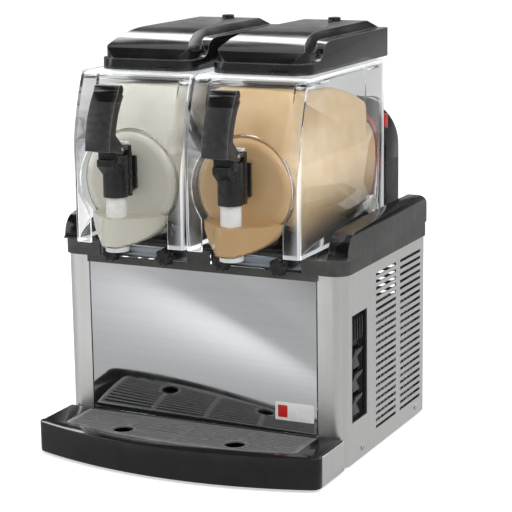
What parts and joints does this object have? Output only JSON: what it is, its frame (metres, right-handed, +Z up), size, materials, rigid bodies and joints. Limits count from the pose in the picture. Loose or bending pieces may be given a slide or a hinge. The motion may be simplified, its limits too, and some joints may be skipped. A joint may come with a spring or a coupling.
{
  "type": "slushie machine",
  "caption": "Countertop frozen-drink dispenser: clear hopper bowls with augers and pull taps over a steel refrigerated cabinet with louvred sides, a polished splash panel and a bowed drip tray.",
  "frame": {"origin": "middle of the machine's footprint, on the surface that its feet rest on", "axes": "+Z up, -Y towards the person at the taps, +X to the side with the switches"},
  "size_m": [0.406, 0.402, 0.5496],
  "materials": {
    "galvanised_steel": "spangled satin",
    "brushed_steel": "fine brushed",
    "polished_steel": "mirror polished",
    "screw_steel": "bright",
    "gloss_black": "gloss moulded",
    "grille_grey": "satin",
    "foot_rubber": "matte",
    "satin_black": "fine textured",
    "enamel_black": "enamel",
    "fin_aluminium": "rolled",
    "cast_alloy": "cast",
    "grey_plastic": "satin",
    "clear_bowl": "clear gloss",
    "clear_jacket": "clear gloss",
    "red_seal": "silky",
    "red_plastic": "gloss",
    "white_plastic": "satin",
    "shaft_steel": "ground",
    "drum_steel": "fine brushed",
    "pale_grey_plastic": "satin"
  },
  "bodies": {
    "cabinet": {"base_pan": "galvanised_steel", "feet": "foot_rubber", "left_side_panel": "brushed_steel", "right_side_panel": "brushed_steel", "splash_panel": "polished_steel", "rear_panel": "brushed_steel", "panel_screws": "screw_steel", "top_housing": "gloss_black", "motor_tower": "gloss_black", "clamp_plates": "brushed_steel", "tray_brackets": "brushed_steel", "switch_plate": "satin_black", "compressor": "enamel_black", "condenser": "fin_aluminium", "fan_shroud": "satin_black", "fan_motor": "cast_alloy", "control_box": "grey_plastic", "mains_inlet": "satin_black", "left_gasket": "red_seal", "right_gasket": "red_seal", "left_evaporator": "drum_steel", "right_evaporator": "drum_steel", "left_gear_motor": "cast_alloy", "right_gear_motor": "cast_alloy"},
    "tray": {"drip_tray": "gloss_black"},
    "grille": {"drip_grille": "grille_grey"},
    "power_switch": {"power_rocker": "satin_black"},
    "left_mix_switch": {"left_mix_rocker": "satin_black"},
    "right_mix_switch": {"right_mix_rocker": "satin_black"},
    "fan": {"fan_blade": "satin_black"},
    "left_bowl_unit": {"left_bowl": "clear_bowl", "left_jacket": "clear_jacket", "left_tap_body": "satin_black", "left_outlet_ring": "white_plastic", "left_handle_pin": "shaft_steel"},
    "left_handle": {"left_tap_handle": "satin_black"},
    "left_piston_unit": {"left_piston": "white_plastic"},
    "left_knob": {"left_side_knob": "pale_grey_plastic"},
    "left_lid_unit": {"left_lid": "gloss_black"},
    "left_button": {"left_lid_knob": "satin_black"},
    "left_auger_unit": {"left_auger": "white_plastic", "left_drive_shaft": "shaft_steel"},
    "left_release": {"left_catch": "red_plastic"},
    "left_outer_clamp": {"left_star_knob_outer": "satin_black"},
    "left_inner_clamp": {"left_star_knob_inner": "satin_black"},
    "right_bowl_unit": {"right_bowl": "clear_bowl", "right_jacket": "clear_jacket", "right_tap_body": "satin_black", "right_outlet_ring": "white_plastic", "right_handle_pin": "shaft_steel"},
    "right_handle": {"right_tap_handle": "satin_black"},
    "right_piston_unit": {"right_piston": "white_plastic"},
    "right_knob": {"right_side_knob": "pale_grey_plastic"},
    "right_lid_unit": {"right_lid": "gloss_black"},
    "right_button": {"right_lid_knob": "satin_black"},
    "right_auger_unit": {"right_auger": "white_plastic", "right_drive_shaft": "shaft_steel"},
    "right_release": {"right_catch": "red_plastic"},
    "right_outer_clamp": {"right_star_knob_outer": "satin_black"},
    "right_inner_clamp": {"right_star_knob_inner": "satin_black"}
  },
  "joints": [
    {"name": "tray_slide", "type": "slide", "parent": "cabinet", "child": "tray", "axis": [0, -1, 0], "range_m": [0, 0.12]},
    {"name": "grille_lift", "type": "slide", "parent": "tray", "child": "grille", "axis": [0, 0, 1], "range_m": [0, 0.06]},
    {"name": "fan_spin", "type": "hinge", "parent": "cabinet", "child": "fan", "pos_m": [0.157, 0.1025, 0.1], "axis": [1, 0, 0], "continuous": true},
    {"name": "power_rock", "type": "hinge", "parent": "cabinet", "child": "power_switch", "pos_m": [0.1892, -0.033, 0.139], "axis": [0, -1, 0], "range_deg": [0, 14]},
    {"name": "left_mix_rock", "type": "hinge", "parent": "cabinet", "child": "left_mix_switch", "pos_m": [0.1892, -0.033, 0.1085], "axis": [0, -1, 0], "range_deg": [0, 14]},
    {"name": "right_mix_rock", "type": "hinge", "parent": "cabinet", "child": "right_mix_switch", "pos_m": [0.1892, -0.033, 0.078], "axis": [0, -1, 0], "range_deg": [0, 14]},
    {"name": "left_bowl_slide", "type": "slide", "parent": "cabinet", "child": "left_bowl_unit", "axis": [0, -1, 0], "range_m": [0, 0.27]},
    {"name": "left_lid_lift", "type": "slide", "parent": "left_bowl_unit", "child": "left_lid_unit", "axis": [0, 0, 1], "range_m": [0, 0.12]},
    {"name": "left_lid_lock", "type": "hinge", "parent": "left_lid_unit", "child": "left_button", "pos_m": [-0.08, 0.172, 0.545], "axis": [0, 0, 1], "range_deg": [0, 90]},
    {"name": "left_tap_pull", "type": "hinge", "parent": "left_bowl_unit", "child": "left_handle", "pos_m": [-0.08, -0.163, 0.41], "axis": [1, 0, 0], "range_deg": [0, 48]},
    {"name": "left_piston_lift", "type": "slide", "parent": "left_bowl_unit", "child": "left_piston_unit", "axis": [0, 0, 1], "range_m": [0, 0.01]},
    {"name": "left_knob_turn", "type": "hinge", "parent": "left_bowl_unit", "child": "left_knob", "pos_m": [-0.145, 0.115, 0.307], "axis": [1, 0, 0], "range_deg": [0, 90]},
    {"name": "left_auger_spin", "type": "hinge", "parent": "cabinet", "child": "left_auger_unit", "pos_m": [-0.08, 0, 0.361], "axis": [0, 1, 0], "continuous": true},
    {"name": "left_catch_press", "type": "slide", "parent": "cabinet", "child": "left_release", "axis": [0, 0, -1], "range_m": [0, 0.005]},
    {"name": "left_outer_clamp_turn", "type": "hinge", "parent": "cabinet", "child": "left_outer_clamp", "pos_m": [-0.119, -0.09, 0.263], "axis": [0, 1, 0], "continuous": true},
    {"name": "left_inner_clamp_turn", "type": "hinge", "parent": "cabinet", "child": "left_inner_clamp", "pos_m": [-0.041, -0.09, 0.263], "axis": [0, 1, 0], "continuous": true},
    {"name": "right_bowl_slide", "type": "slide", "parent": "cabinet", "child": "right_bowl_unit", "axis": [0, -1, 0], "range_m": [0, 0.27]},
    {"name": "right_lid_lift", "type": "slide", "parent": "right_bowl_unit", "child": "right_lid_unit", "axis": [0, 0, 1], "range_m": [0, 0.12]},
    {"name": "right_lid_lock", "type": "hinge", "parent": "right_lid_unit", "child": "right_button", "pos_m": [0.08, 0.172, 0.545], "axis": [0, 0, 1], "range_deg": [0, 90]},
    {"name": "right_tap_pull", "type": "hinge", "parent": "right_bowl_unit", "child": "right_handle", "pos_m": [0.08, -0.163, 0.41], "axis": [1, 0, 0], "range_deg": [0, 48]},
    {"name": "right_piston_lift", "type": "slide", "parent": "right_bowl_unit", "child": "right_piston_unit", "axis": [0, 0, 1], "range_m": [0, 0.01]},
    {"name": "right_knob_turn", "type": "hinge", "parent": "right_bowl_unit", "child": "right_knob", "pos_m": [0.145, 0.115, 0.307], "axis": [1, 0, 0], "range_deg": [0, 90]},
    {"name": "right_auger_spin", "type": "hinge", "parent": "cabinet", "child": "right_auger_unit", "pos_m": [0.08, 0, 0.361], "axis": [0, 1, 0], "continuous": true},
    {"name": "right_catch_press", "type": "slide", "parent": "cabinet", "child": "right_release", "axis": [0, 0, -1], "range_m": [0, 0.005]},
    {"name": "right_outer_clamp_turn", "type": "hinge", "parent": "cabinet", "child": "right_outer_clamp", "pos_m": [0.119, -0.09, 0.263], "axis": [0, 1, 0], "continuous": true},
    {"name": "right_inner_clamp_turn", "type": "hinge", "parent": "cabinet", "child": "right_inner_clamp", "pos_m": [0.041, -0.09, 0.263], "axis": [0, 1, 0], "continuous": true}
  ],
  "couplings": [
    {"joint": "left_piston_lift", "follows": "left_tap_pull", "m_per_rad": 0.011925},
    {"joint": "right_piston_lift", "follows": "right_tap_pull", "m_per_rad": 0.011925}
  ]
}
